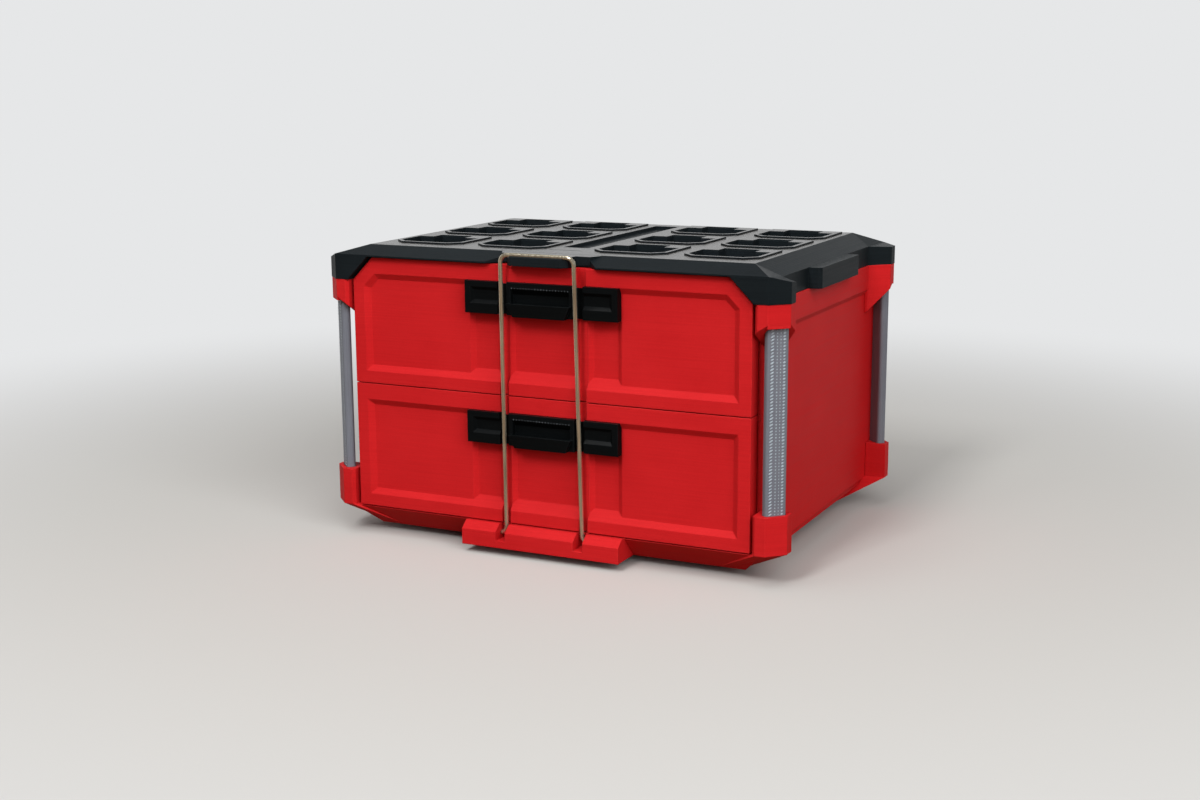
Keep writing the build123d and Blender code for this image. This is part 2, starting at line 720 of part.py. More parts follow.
# Drawers: an open tray behind a thick front with sloped recesses and the lock bar's channels
for name, low, cut, tray_top in (
    ("lower_drawer", lower_z, 0, shelf_low - run_gap),
    ("upper_drawer", upper_z, upper_corner_cut, upper_z + front_height - upper_corner_cut),
):
    high = low + front_height
    face = Plane(origin=(0, front_y, low), x_dir=(-1, 0, 0), z_dir=(0, 1, 0))
    outline = [(-front_half, 0), (front_half, 0)]
    panel = [(border_side - front_half, border_low), (front_half - border_side, border_low)]
    if cut:
        outline += [(front_half, front_height - cut), (front_half - cut, front_height)]
        outline += [(cut - front_half, front_height), (-front_half, front_height - cut)]
        panel += [
            (front_half - border_side, front_height - border_top - panel_corner_cut),
            (front_half - border_side - panel_corner_cut, front_height - border_top),
            (border_side + panel_corner_cut - front_half, front_height - border_top),
            (border_side - front_half, front_height - border_top - panel_corner_cut),
        ]
    else:
        outline += [(front_half, front_height), (-front_half, front_height)]
        panel += [
            (front_half - border_side, front_height - border_top),
            (border_side - front_half, front_height - border_top),
        ]
    deeps = [
        [(a, border_low), (b, border_low), (b, deep_top), (a, deep_top)]
        for a, b in (
            (-deep_half, rib_overlap - channel_x),
            (-channel_x - rib_overlap, channel_x + rib_overlap),
            (channel_x - rib_overlap, deep_half),
        )
    ]
    with BuildPart() as drawer:
        with BuildSketch(face):
            Polygon(*outline, align=None)
        extrude(amount=front_thick)
        for points, depth, run in [(panel, panel_depth, panel_run)] + [
            (deep, deep_depth, deep_run) for deep in deeps
        ]:
            with BuildSketch(face):
                Polygon(*points, align=None)
            with BuildSketch(face.offset(depth)):
                Polygon(*inset(points, run), align=None)
            loft(ruled=True, mode=Mode.SUBTRACT)
        with BuildSketch(face):
            with Locations((-channel_x, front_height / 2), (channel_x, front_height / 2)):
                Rectangle(channel_width, front_height)
        extrude(amount=channel_depth, mode=Mode.SUBTRACT)
        # tray
        with BuildSketch(Plane.XY.offset(low)):
            with Locations((0, (front_y + front_thick + tray_back) / 2)):
                Rectangle(2 * tray_half, tray_back - front_y - front_thick)
        extrude(amount=tray_top - low)
        with BuildSketch(Plane.XY.offset(low + tray_floor)):
            with Locations((0, (front_y + front_thick + tray_back - tray_wall) / 2)):
                Rectangle(2 * (tray_half - tray_wall), tray_back - tray_wall - front_y - front_thick)
        extrude(amount=tray_top - low, mode=Mode.SUBTRACT)
        # grooves that the stops on the side walls run in
        for sx in (-1, 1):
            with Locations((sx * tray_half, stop_y + travel / 2, low + front_height / 2)):
                Box(
                    2 * (stop_out - run_gap + stop_gap),
                    travel + stop_size + 2 * stop_gap,
                    stop_size + 2 * run_gap,
                    mode=Mode.SUBTRACT,
                )
        # sockets for the pull's pegs
        with BuildSketch(face):
            with Locations((-peg_x, pull_low + peg_up), (peg_x, pull_low + peg_up)):
                Circle(peg_radius + glue_gap)
        extrude(amount=panel_depth + peg_length + glue_gap, mode=Mode.SUBTRACT)
    drawer.part.label = name
    export_step(drawer.part, f"parts/{name}.step")

# Pulls: a plate in the recess with two framed panels, channels for the lock bar and a finger lip
for name, low in (("lower_pull", lower_z), ("upper_pull", upper_z)):
    face = Plane(origin=(0, front_y - pull_proud, low + pull_low), x_dir=(-1, 0, 0), z_dir=(0, 1, 0))
    with BuildPart() as pull:
        with BuildSketch(Plane.YZ.offset(-pull_half)):
            Polygon(
                (front_y - pull_proud, low + pull_low),
                (front_y + panel_depth - pull_seat, low + pull_low),
                (front_y + panel_depth - pull_seat, low + panel_top - panel_run),
                (front_y, low + panel_top - pull_seat),
                (front_y - pull_proud, low + panel_top - pull_seat),
                align=None,
            )
        extrude(amount=2 * pull_half)
        # finger lip, narrower and shallower towards its lower edge
        with BuildSketch(Plane.XY.offset(low + pull_low - lip_drop)):
            with Locations((0, front_y - lip_reach + lip_rake)):
                Rectangle(2 * (lip_half - lip_taper), lip_reach, align=(Align.CENTER, Align.MIN))
        with BuildSketch(Plane.XY.offset(low + pull_low + lip_top)):
            with Locations((0, front_y - lip_reach)):
                Rectangle(2 * lip_half, lip_reach, align=(Align.CENTER, Align.MIN))
        loft()
        # scoop behind the lip
        with BuildSketch(Plane.YZ.offset(-lip_half + lip_wall)):
            Polygon(
                (front_y - lip_reach + lip_wall, low + pull_low + lip_top - scoop_drop),
                (front_y + scoop_in, low + pull_low + lip_top - scoop_drop),
                (front_y + scoop_in, low + pull_low + scoop_high - scoop_in - pull_proud),
                (front_y - lip_reach, low + pull_low + scoop_high + lip_reach - pull_proud),
                (front_y - lip_reach + lip_wall, low + pull_low + lip_top + lip_wall),
                align=None,
            )
        extrude(amount=2 * (lip_half - lip_wall), mode=Mode.SUBTRACT)
        # framed panels, open towards the channels
        for sx in (-1, 1):
            ends = sorted((sx * (pull_channel_out - frame_depth - glue_gap), sx * frame_out))
            frame = [
                (ends[0], frame_low),
                (ends[1], frame_low),
                (ends[1], frame_high),
                (ends[0], frame_high),
            ]
            with BuildSketch(face):
                Polygon(*frame, align=None)
            with BuildSketch(face.offset(frame_depth)):
                Polygon(*inset(frame, frame_depth), align=None)
            loft(ruled=True, mode=Mode.SUBTRACT)
        # channels for the legs of the lock bar
        with BuildSketch(face):
            for sx in (-1, 1):
                with Locations((sx * (pull_channel_in + pull_channel_out) / 2, pull_low / 2)):
                    Rectangle(pull_channel_out - pull_channel_in, 2 * pull_low)
        extrude(amount=pull_proud + pull_channel_floor, mode=Mode.SUBTRACT)
        with BuildSketch(face.offset(pull_proud + panel_depth - pull_seat)):
            with Locations((-peg_x, peg_up), (peg_x, peg_up)):
                Circle(peg_radius)
        extrude(amount=peg_length)
    pull.part.label = name
    export_step(pull.part, f"parts/{name}.step")

# Lock bar: one length of wire, leaning forwards, with its ends turned out into the hinge block
bar_run = bar_top_ahead - pivot_ahead
bar_rise = bar_top_z - pivot_z
lean = degrees(atan(bar_run / bar_rise))
bar_height = sqrt(bar_run ** 2 + bar_rise ** 2)
bar_plane = Plane((0, pivot_y, pivot_z), x_dir=(1, 0, 0), z_dir=(0, -1, 0)).rotated((lean, 0, 0))
with BuildPart() as lock_bar:
    with BuildLine(bar_plane) as bar_line:
        FilletPolyline(
            (-bar_bottom_half - stub_length, 0),
            (-bar_bottom_half, 0),
            (-bar_top_half, bar_height),
            (bar_top_half, bar_height),
            (bar_bottom_half, 0),
            (bar_bottom_half + stub_length, 0),
            radius=bar_bend,
        )
    with BuildSketch(Plane(bar_line.line @ 0, z_dir=bar_line.line % 0)):
        Circle(wire_radius)
    sweep()
lock_bar.part.label = "lock_bar"
export_step(lock_bar.part, "parts/lock_bar.step")
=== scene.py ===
import json
import math

import bmesh
import bpy
from mathutils import Matrix, Vector
from mathutils.geometry import tessellate_polygon


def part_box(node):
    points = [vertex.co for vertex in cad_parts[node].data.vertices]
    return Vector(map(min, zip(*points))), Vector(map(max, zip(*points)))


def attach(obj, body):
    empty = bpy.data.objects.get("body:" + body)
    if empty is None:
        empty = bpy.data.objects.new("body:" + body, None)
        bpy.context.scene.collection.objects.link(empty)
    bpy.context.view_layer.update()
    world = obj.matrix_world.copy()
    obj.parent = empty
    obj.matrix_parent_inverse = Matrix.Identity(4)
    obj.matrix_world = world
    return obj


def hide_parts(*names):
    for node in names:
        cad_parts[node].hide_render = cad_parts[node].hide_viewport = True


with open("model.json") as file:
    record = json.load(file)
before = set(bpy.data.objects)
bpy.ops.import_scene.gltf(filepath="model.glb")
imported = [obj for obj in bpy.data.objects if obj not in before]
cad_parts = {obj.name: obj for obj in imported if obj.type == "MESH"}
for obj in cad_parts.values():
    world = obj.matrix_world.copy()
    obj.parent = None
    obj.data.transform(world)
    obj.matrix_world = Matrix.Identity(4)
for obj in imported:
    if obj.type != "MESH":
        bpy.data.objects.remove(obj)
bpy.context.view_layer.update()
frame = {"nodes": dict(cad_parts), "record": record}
scene = bpy.context.scene
scene.view_settings.view_transform = "Standard"
nodes = frame["nodes"]
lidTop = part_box("lid")[1][2]
print("frame loaded:", len(nodes), "pieces")


class Value:  # a socket that takes plain arithmetic
    def __init__(self, owner, socket):
        self.owner = owner
        self.socket = socket

    def work(self, operation, a, b=0.0):
        return self.owner.add("ShaderNodeMath", {"operation": operation}, {0: a, 1: b})[0]

    def __add__(self, other):
        return self.work("ADD", self, other)

    def __radd__(self, other):
        return self.work("ADD", other, self)

    def __sub__(self, other):
        return self.work("SUBTRACT", self, other)

    def __rsub__(self, other):
        return self.work("SUBTRACT", other, self)

    def __mul__(self, other):
        return self.work("MULTIPLY", self, other)

    def __rmul__(self, other):
        return self.work("MULTIPLY", other, self)

    def __mod__(self, other):
        return self.work("MODULO", self, other)

    def __rmod__(self, other):
        return self.work("MODULO", other, self)

    def __abs__(self):
        return self.work("ABSOLUTE", self)

    def sine(self):
        return self.work("SINE", self)

    def most(self, other):
        return self.work("MAXIMUM", self, other)

    def ramp(self, low, high):  # 0 below low, 1 above high
        sockets = {"Value": self, "From Min": low, "From Max": high}
        return self.owner.add("ShaderNodeMapRange", {"interpolation_type": "SMOOTHSTEP"}, sockets)[0]


class Tree:  # a node tree, and the one way to add nodes to it
    def __init__(self, tree):
        self.tree = tree

    def add(self, kind, settings=None, sockets=None):  # gives the outputs of the new node
        node = self.tree.nodes.new(kind)
        for key, value in (settings or {}).items():
            setattr(node, key, value)
        self.feed(node, sockets or {})
        return [Value(self, socket) for socket in node.outputs]

    def feed(self, node, sockets):
        for key, value in sockets.items():
            if isinstance(value, Value):
                self.tree.links.new(value.socket, node.inputs[key])
            else:
                node.inputs[key].default_value = value


class Finish(Tree):  # the nodes of a material or world, and the shader at their end
    def __init__(self, owner, shader):
        owner.use_nodes = True
        super().__init__(owner.node_tree)
        self.owner = owner
        self.shader = self.tree.nodes[shader]

    def blend(self, factor, a, b):
        return self.add("ShaderNodeMix", {"data_type": "RGBA"}, {"Factor": factor, 6: a, 7: b})[2]

    def noise(self, place, scale, detail):
        return self.add("ShaderNodeTexNoise", {}, {"Vector": place, "Scale": scale, "Detail": detail})[0]

    def split(self, vector):
        return self.add("ShaderNodeSeparateXYZ", {}, {"Vector": vector})

    def join(self, x, y, z):
        return self.add("ShaderNodeCombineXYZ", {}, {"X": x, "Y": y, "Z": z})[0]

    def dot(self, a, b):
        return self.add("ShaderNodeVectorMath", {"operation": "DOT_PRODUCT"}, {0: a, 1: b})[1]

    def bump(self, s, sockets):
        return self.add("ShaderNodeBump", {}, {"Strength": s["bump"], "Distance": s["relief"], **sockets})[0]


def rgba(red, green, blue):  # screen colour 0..255 to the shader's linear colour
    shares = (v / 255 for v in (red, green, blue))
    return (*(v / 12.92 if v < 0.04045 else ((v + 0.055) / 1.055) ** 2.4 for v in shares), 1.0)


# spans are where a mask starts and ends; tones are shares of the blend from dark to light
plasticBase = {
    "lines": "level", "layer": 0.0003, "bead": 0.00042, "slant": 1.0, "stretch": 40.0, "squeeze": 2600.0,
    "cloud": 45.0, "grain": 2200.0, "detail": 3.0, "grainDetail": 2.0,
    "streakSpan": (0.2, 0.8), "cloudSpan": (0.25, 0.75), "grainSpan": (0.2, 0.8),
    "streakTone": 0.45, "cloudTone": 0.35, "grainTone": 0.2,
    # the rim colour and the edge settings below set a painted highlight along edges
    "edge": 0.00022, "edgeSamples": 6, "edgeSpan": (0.02, 0.16), "patchSpan": (0.3, 0.7), "wear": 0.35,
    "bump": 0.35, "relief": 0.00006, "flatSpan": (0.9, 0.99), "ridge": 0.5, "rasterRidge": 0.45,
    "streakRidge": 0.8, "grainRidge": 0.3,
    "streakRough": 0.16, "grainRough": 0.1, "wornSmooth": 0.05, "gloss": 0.1,
    "sheen": 0.0, "sheenRough": 0.4, "sheenSpan": (0.3, 0.8), "topSheen": 0.0,
}
redLook = dict(
    plasticBase, dark=rgba(186, 24, 28), light=rgba(204, 34, 37), rim=rgba(226, 62, 60), rough=0.58,
    edge=0.0003, wear=0.6)
blackLook = dict(
    plasticBase, dark=rgba(6, 8, 9), light=rgba(12, 15, 16), rim=rgba(46, 51, 53), rough=0.5, wear=0.6,
    gloss=0.05, sheen=0.2, sheenRough=0.2)
# the lid's flat top gets a real coat and a lighter colour that paints its sheen
lidLook = dict(
    blackLook, dark=rgba(18, 23, 26), light=rgba(28, 34, 37), topTone=rgba(45, 42, 38), topSheen=0.6,
    topAt=(lidTop - 0.0006, lidTop - 0.0003), topSpan=(0.97, 0.995))
greyLook = dict(
    plasticBase, dark=rgba(104, 107, 116), light=rgba(122, 126, 135), rim=rgba(150, 156, 164), rough=0.46,
    lines="upright", layer=0.0006, ridge=0.9)


def printedPlastic(name, s):
    f = Finish(bpy.data.materials.new(name), "Principled BSDF")
    coords = f.add("ShaderNodeTexCoord")
    place, facing = coords[3], coords[1]
    x, y, z = f.split(place)
    up = f.split(facing)[2]
    level = s["lines"] == "level"
    wide, tall = (s["stretch"], s["squeeze"]) if level else (s["squeeze"], s["stretch"])
    layers = ((z if level else x + y) * (math.tau / s["layer"])).sine()
    raster = ((x + y * s["slant"]) * (math.tau / s["bead"])).sine()
    streak = f.noise(f.join(x * wide, y * wide, z * tall), 1.0, s["detail"])
    cloud = f.noise(place, s["cloud"], s["detail"])
    grain = f.noise(place, s["grain"], s["grainDetail"])
    flat = abs(up).ramp(*s["flatSpan"])
    soft = f.add("ShaderNodeBevel", {"samples": s["edgeSamples"]}, {"Radius": s["edge"]})[0]
    hard = f.add("ShaderNodeNewGeometry")[1]
    # painted highlight: edges and inside corners lightened towards the rim colour in patches, and made a
    # little smoother
    paintedEdgeHighlight = (1 - f.dot(soft, hard)).ramp(*s["edgeSpan"]) * cloud.ramp(*s["patchSpan"])
    tone = streak.ramp(*s["streakSpan"]) * s["streakTone"] + cloud.ramp(*s["cloudSpan"]) * s["cloudTone"]
    tone = tone + grain.ramp(*s["grainSpan"]) * s["grainTone"]
    colour = f.blend(tone, s["dark"], s["light"])
    coat = up.ramp(*s["sheenSpan"]) * s["sheen"] if s["sheen"] else 0.0
    if s["topSheen"]:  # flat top with a gloss of its own, and its colour lightened there as painted sheen
        top = up.ramp(*s["topSpan"]) * z.ramp(*s["topAt"])
        colour = f.blend(top, colour, s["topTone"])
        coat = coat + top * s["topSheen"]
    colour = f.blend(paintedEdgeHighlight * s["wear"], colour, s["rim"])
    ridges = layers * (1 - flat) * s["ridge"] + raster * flat * s["rasterRidge"]
    height = ridges + streak * s["streakRidge"] + grain * s["grainRidge"]
    rough = s["rough"] + (streak - 0.5) * s["streakRough"] + (grain - 0.5) * s["grainRough"]
    f.feed(f.shader, {
        "Base Color": colour,
        "Roughness": rough - paintedEdgeHighlight * s["wornSmooth"],
        "Normal": f.bump(s, {"Height": height, "Normal": soft}),
        "Specular IOR Level": s["gloss"],
        "Coat Weight": coat,
        "Coat Roughness": s["sheenRough"],
    })
    print("finish:", name)
    return f.owner


wireLook = {
    "dark": rgba(172, 161, 140), "light": rgba(226, 217, 194), "metal": 0.82, "rough": 0.2, "drawnRough": 0.2,
    "squeeze": 3000.0, "stretch": 60.0, "drawnDetail": 3.0, "drawnSpan": (0.35, 0.65), "drawnTone": 0.7,
    "cloud": 60.0, "cloudDetail": 2.0, "cloudSpan": (0.3, 0.7), "cloudTone": 0.3,
    "bump": 0.06, "relief": 0.00003,
}


def drawnWire(name, s):
    f = Finish(bpy.data.materials.new(name), "Principled BSDF")
    place = f.add("ShaderNodeTexCoord")[3]
    x, y, z = f.split(place)
    drawn = f.noise(f.join(x * s["squeeze"], y * s["squeeze"], z * s["stretch"]), 1.0, s["drawnDetail"])
    cloud = f.noise(place, s["cloud"], s["cloudDetail"])
    tone = cloud.ramp(*s["cloudSpan"]) * s["cloudTone"] + drawn.ramp(*s["drawnSpan"]) * s["drawnTone"]
    f.feed(f.shader, {
        "Base Color": f.blend(tone, s["dark"], s["light"]),
        "Metallic": s["metal"],
        "Roughness": s["rough"] + (drawn - 0.5) * s["drawnRough"],
        "Normal": f.bump(s, {"Height": drawn}),
    })
    print("finish:", name)
    return f.owner


red = printedPlastic("redPrint", redLook)
black = printedPlastic("blackPrint", blackLook)
lidBlack = printedPlastic("lidPrint", lidLook)
grey = printedPlastic("greyPrint", greyLook)
steel = drawnWire("drawnWire", wireLook)
# lighter copies of the grey and black prints for raised beads: a painted highlight
greyBead = printedPlastic("greyBead", dict(greyLook, dark=rgba(156, 168, 178), light=rgba(178, 190, 198)))
blackBead = printedPlastic("blackBead", dict(blackLook, dark=rgba(70, 75, 80), light=rgba(95, 100, 104)))

finishes = {"lid": lidBlack, "upper_pull": black, "lower_pull": black, "lock_bar": steel}
for name, node in nodes.items():
    node.data.materials.clear()
    node.data.materials.append(grey if name.startswith("post_") else finishes.get(name, red))
print("finishes on", len(nodes), "pieces")


def placed(name, data):  # a new object in the scene
    obj = bpy.data.objects.new(name, data)
    scene.collection.objects.link(obj)
    return obj


def meshPiece(name, verts, edges, faces):
    mesh = bpy.data.meshes.new(name)
    mesh.from_pydata(verts, edges, faces)
    return placed(name, mesh)


def applied(obj):  # keeps the plain mesh that the modifiers make
    made = bpy.data.meshes.new_from_object(obj.evaluated_get(bpy.context.evaluated_depsgraph_get()))
    obj.modifiers.clear()
    obj.data = made
    return made


def fixed(obj):  # a piece of the cabinet
    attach(obj, "cabinet")


def newGroup(name, inputs):
    tree = bpy.data.node_groups.new(name, "GeometryNodeTree")
    for label, kind in inputs.items():
        tree.interface.new_socket(label, in_out="INPUT", socket_type="NodeSocket" + kind)
    tree.interface.new_socket("Made", in_out="OUTPUT", socket_type="NodeSocketGeometry")
    return Tree(tree)


def closeGroup(g, copies, finish):  # copies made solid, in one finish
    dots = g.add("GeometryNodeInstanceOnPoints", {}, copies)[0]
    solid = g.add("GeometryNodeRealizeInstances", {}, {"Geometry": dots})[0]
    coated = g.add("GeometryNodeSetMaterial", {}, {"Geometry": solid, "Material": finish})[0]
    g.add("NodeGroupOutput", {}, {"Made": coated})
    return g.tree


def runGroup(obj, tree, inputs):
    mod = obj.modifiers.new("nodes", "NODES")
    mod.node_group = tree
    for item in tree.interface.items_tree:
        if item.name in inputs:
            mod[item.identifier] = inputs[item.name]
    applied(obj)
    return obj


beadBall = {"Segments": 8, "Rings": 4, "Radius": 1.0}


def beadTree():  # beads of plastic along drawn rows, swinging from side to side
    g = newGroup("beadRows", {
        "Rows": "Geometry", "Pitch": "Float", "Size": "Vector", "Tilt": "Float", "Swing": "Float",
        "Uneven": "Float", "Seed": "Int", "Finish": "Material",
    })
    rows, pitch, size, tilt, swing, uneven, seed, finish, *_ = g.add("NodeGroupInput")
    outward, sideways = (
        g.add("GeometryNodeInputNamedAttribute", {"data_type": "FLOAT_VECTOR"}, {"Name": name})[0]
        for name in ("outward", "sideways")
    )
    curves = g.add("GeometryNodeMeshToCurve", {}, {"Mesh": rows})[0]
    points = g.add("GeometryNodeResampleCurve", {"mode": "LENGTH"}, {"Curve": curves, "Length": pitch})[0]
    sign = g.add("GeometryNodeInputIndex")[0] % 2 * 2 - 1
    shift = g.add("ShaderNodeVectorMath", {"operation": "SCALE"}, {0: sideways, "Scale": sign * swing})[0]
    moved = g.add("GeometryNodeSetPosition", {}, {"Geometry": points, "Offset": shift})[0]
    out = g.add("FunctionNodeAlignRotationToVector", {"axis": "Z"}, {"Vector": outward})[0]
    across = {"Rotation": out, "Vector": sideways}
    straight = g.add("FunctionNodeAlignRotationToVector", {"axis": "X", "pivot_axis": "Z"}, across)[0]
    lean = g.add("FunctionNodeAxisAngleToRotation", {}, {"Axis": (0.0, 0.0, 1.0), "Angle": tilt})[0]
    both = {"Rotation": straight, "Rotate By": lean}
    turned = g.add("FunctionNodeRotateRotation", {"rotation_space": "LOCAL"}, both)[0]
    spread = {"Min": 1 - uneven, "Max": 1.0, "Seed": seed}
    grow = g.add("FunctionNodeRandomValue", {"data_type": "FLOAT"}, spread)[1]
    grown = g.add("ShaderNodeVectorMath", {"operation": "SCALE"}, {0: size, "Scale": grow})[0]
    ball = g.add("GeometryNodeMeshUVSphere", {}, beadBall)[0]
    return closeGroup(g, {"Points": moved, "Instance": ball, "Rotation": turned, "Scale": grown}, finish)


beads = beadTree()


def beadRows(name, rows, s, finish):  # rows: start, end, outward, sideways
    ends = [p for start, end, _, _ in rows for p in (start, end)]
    obj = meshPiece(name, ends, [(2 * i, 2 * i + 1) for i in range(len(rows))], [])
    for key, place in (("outward", 2), ("sideways", 3)):
        values = obj.data.attributes.new(key, "FLOAT_VECTOR", "POINT").data
        for i, row in enumerate(rows):
            values[2 * i].vector = row[place]
            values[2 * i + 1].vector = row[place]
    return runGroup(obj, beads, {
        "Pitch": s["pitch"], "Size": s["size"], "Tilt": s["tilt"], "Swing": s["swing"],
        "Uneven": s["uneven"], "Seed": s["seed"], "Finish": finish,
    })


def crossRow(s, up, outward):  # one row from left to right
    start, end = (Vector((x, -s["ahead"], up)) for x in (-s["half"], s["half"]))
    return [(start, end, Vector(outward), Vector((1, 0, 0)))]


# slanted stitches and dotted seams that run up the broad face of each post, lighter than the post as painted
# highlight
postSeams = {
    "columns": (  # shift to the side, size of a bead, tilt
        (-0.0018, (0.00068, 0.00026, 0.00016), 0.5),
        (-0.0004, (0.00024, 0.00022, 0.00008), 0.3),
        (0.0006, (0.00018, 0.0002, 0.00006), 0.0),
        (0.00165, (0.00046, 0.0003, 0.00014), 0.4),
    ),
    "pitch": 0.00086, "swing": 0.0, "uneven": 0.25, "seed": 11,
    "low": 0.0201, "high": 0.0692, "out": 0.00135,
}


def postAxes():  # middle of each post, and its outward and sideways directions
    for name in sorted(n for n in nodes if n.startswith("post_")):
        low, high = (Vector(c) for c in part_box(name))
        mid = (low + high) / 2
        out = Vector((math.copysign(1, mid.x), math.copysign(1, mid.y), 0)).normalized()
        yield mid, out, Vector((-out.y, out.x, 0))


def postRows(shift):
    for mid, out, side in postAxes():
        face = mid + out * postSeams["out"] + side * shift
        start, end = (Vector((face.x, face.y, z)) for z in (postSeams["low"], postSeams["high"]))
        yield start, end, out, side


for i, (shift, size, tilt) in enumerate(postSeams["columns"]):
    column = dict(postSeams, size=size, tilt=tilt, seed=postSeams["seed"] + i)
    fixed(beadRows(f"postSeam{i}", list(postRows(shift)), column, greyBead))
print("post seams:", len(postSeams["columns"]))

# dotted seam along the top edge of each scoop, its beads lighter than the black as painted highlight
scoopSeam = {
    "half": 0.0086, "up": 0.0303, "ahead": 0.0506, "pitch": 0.0009, "size": (0.0002, 0.00028, 0.00014),
    "tilt": 0.0, "swing": 0.0, "uneven": 0.3, "seed": 31,
}
for body in ("lower_drawer", "upper_drawer"):
    line = crossRow(scoopSeam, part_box(body)[0][2] + scoopSeam["up"], (0, -1, 0))
    row = beadRows(f"{body}ScoopSeam", line, scoopSeam, blackBead)
    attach(row, body)
print("scoop seams: 2")

# ragged strands along the lower front edge of the catch tongue, lighter than the black as painted highlight
fringe = {
    "half": 0.0076, "ahead": 0.05272, "up": 0.08268, "pitch": 0.00047, "size": (0.00022, 0.0003, 0.00017),
    "tilt": 0.0, "swing": 0.00005, "uneven": 0.7, "seed": 47,
}
strands = beadRows("tongueFringe", crossRow(fringe, fringe["up"], (0, 0, -1)), fringe, blackBead)
fixed(strands)
print("tongue fringe: 1")

# raised rims round the stacking pockets, open underneath where they stand on the lid
rims = {
    "half": (0.01, 0.0092), "cut": 0.003, "ledge": (0.0046, 0.005), "wide": 0.00105, "frontIn": 0.0061,
    "low": lidTop - 0.0004, "lid": lidTop, "high": lidTop + 0.0004,
}
openings = frame["record"]["physics"]["openings"]
pockets = [o["box_m"] for o in openings if o["name"].startswith("lid_pocket")]
pocketMids = [((low[0] + high[0]) / 2, low[1] + rims["frontIn"], 0.0) for low, high in pockets]


def rimShape(s):
    w, d = s["half"]
    c = s["cut"]
    lx, ly = s["ledge"]
    inner = [
        (-w, c - d), (c - w, -d), (w - c, -d), (w, c - d), (w, d - ly), (w - lx, d - ly), (w - lx, d),
        (lx - w, d), (lx - w, d - ly), (-w, d - ly),
    ]
    w, d = w + s["wide"], d + s["wide"]
    c = c + s["wide"] * (2 - math.sqrt(2))  # keeps the width even along the cut corners
    outer = [(-w, c - d), (c - w, -d), (w - c, -d), (w, c - d), (w, d), (-w, d)]
    loops = [[Vector((x, y, s["high"])) for x, y in loop] for loop in (outer, inner[::-1])]
    verts = loops[0] + loops[1]
    faces = []
    for tri in tessellate_polygon(loops):
        p, q, r = (verts[i] for i in tri)
        faces.append(tri if (q - p).cross(r - p).z > 0 else tri[::-1])
    first = 0
    for loop, low in zip(loops, (s["low"], s["lid"])):
        base, count = len(verts), len(loop)
        verts = verts + [Vector((v.x, v.y, low)) for v in loop]
        for i in range(count):
            j = (i + 1) % count
            faces.append((first + j, first + i, base + i, base + j))
        first += count
    return meshPiece("rim", verts, [], faces)


def copyTree():  # one shape at every given point
    g = newGroup("copies", {"Spots": "Geometry", "Shape": "Object", "Finish": "Material"})
    spots, shape, finish, *_ = g.add("NodeGroupInput")
    one = g.add("GeometryNodeObjectInfo", {}, {"Object": shape})[-1]
    return closeGroup(g, {"Points": spots, "Instance": one}, finish)


pocketRims = meshPiece("pocketRims", pocketMids, [], [])
oneRim = rimShape(rims)
runGroup(pocketRims, copyTree(), {"Shape": oneRim, "Finish": lidBlack})
bpy.data.objects.remove(oneRim)
fixed(pocketRims)
print("pocket rims:", len(pocketMids))


def upright(x, y, z):
    return (x, y, z)


def lengthwise(x, z, y):
    return (x, y, z)


def prism(name, outlines, s, place, finish):  # outlines run anticlockwise, seen from the high end
    verts, faces = [], []
    for outline in outlines:
        first, count = len(verts), len(outline)
        verts += [place(a, b, end) for end in (s["low"], s["high"]) for a, b in outline]
        faces.append([first + count + i for i in range(count)])
        faces.append([first + i for i in reversed(range(count))])
        for i in range(count):
            j = (i + 1) % count
            faces.append((first + i, first + j, first + count + j, first + count + i))
    obj = meshPiece(name, verts, [], faces)
    obj.data.materials.append(finish)
    return obj


def bothSides(s):  # an outline on the right and its mirror image
    return [[(-x, other) for x, other in reversed(s["outline"])], s["outline"]]


# slots of the hinge block carried back into the pan, where the photo shows them deep and dark
slots = {
    "outline": ((0.01075, -0.0505), (0.01355, -0.0505), (0.01355, -0.042), (0.01075, -0.042)),
    "low": 0.00465, "high": 0.0081, "weld": 1e-7,
}


def deepened(name, cutter):  # stands for a red node, with the cutter taken out of it
    mesh = nodes[name].data.copy()
    work = bmesh.new()
    work.from_mesh(mesh)
    bmesh.ops.remove_doubles(work, verts=work.verts, dist=slots["weld"])
    work.to_mesh(mesh)
    work.free()
    obj = placed(f"{name}Deep", mesh)
    mod = obj.modifiers.new("slots", "BOOLEAN")
    mod.operation, mod.solver, mod.object = "DIFFERENCE", "EXACT", cutter
    applied(obj).shade_flat()
    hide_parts(name)
    fixed(obj)


cutter = prism("slotCutter", bothSides(slots), slots, upright, red)
for name in ("hinge_block", "base_pan"):
    deepened(name, cutter)
bpy.data.objects.remove(cutter)
print("deep slots: 2")

# flat of the lid carried forward over the notch to the wire, over the root of the catch tongue
bridge = {
    "outline": (
        (-0.0155, -0.0427), (-0.0135, -0.04675), (-0.0092, -0.04675), (-0.0088, -0.0512), (0.0088, -0.0512),
        (0.0092, -0.04675), (0.0135, -0.04675), (0.0155, -0.0427),
    ),
    "low": lidTop - 0.0024, "high": lidTop - 0.00002,
}
fixed(prism("notchBridge", [bridge["outline"]], bridge, upright, lidBlack))
print("notch bridge: 1")

# webs that close the slit between each side wall and the post behind it
webs = {
    "outline": ((0.0612, 0.0476), (0.06398, 0.0476), (0.06418, 0.0493), (0.0631, 0.0504), (0.0612, 0.0504)),
    "low": 0.0192, "high": 0.069,
}
fixed(prism("rearWebs", bothSides(webs), webs, upright, red))
print("rear webs: 2")

# sloped lower edges of the side bands; the outline is distance out and height
skirts = {"outline": ((0.06519, 0.0687), (0.0638, 0.06672), (0.0638, 0.0687)), "low": -0.043, "high": 0.041}
fixed(prism("bandSkirts", bothSides(skirts), skirts, lengthwise, red))
print("band skirts: 2")

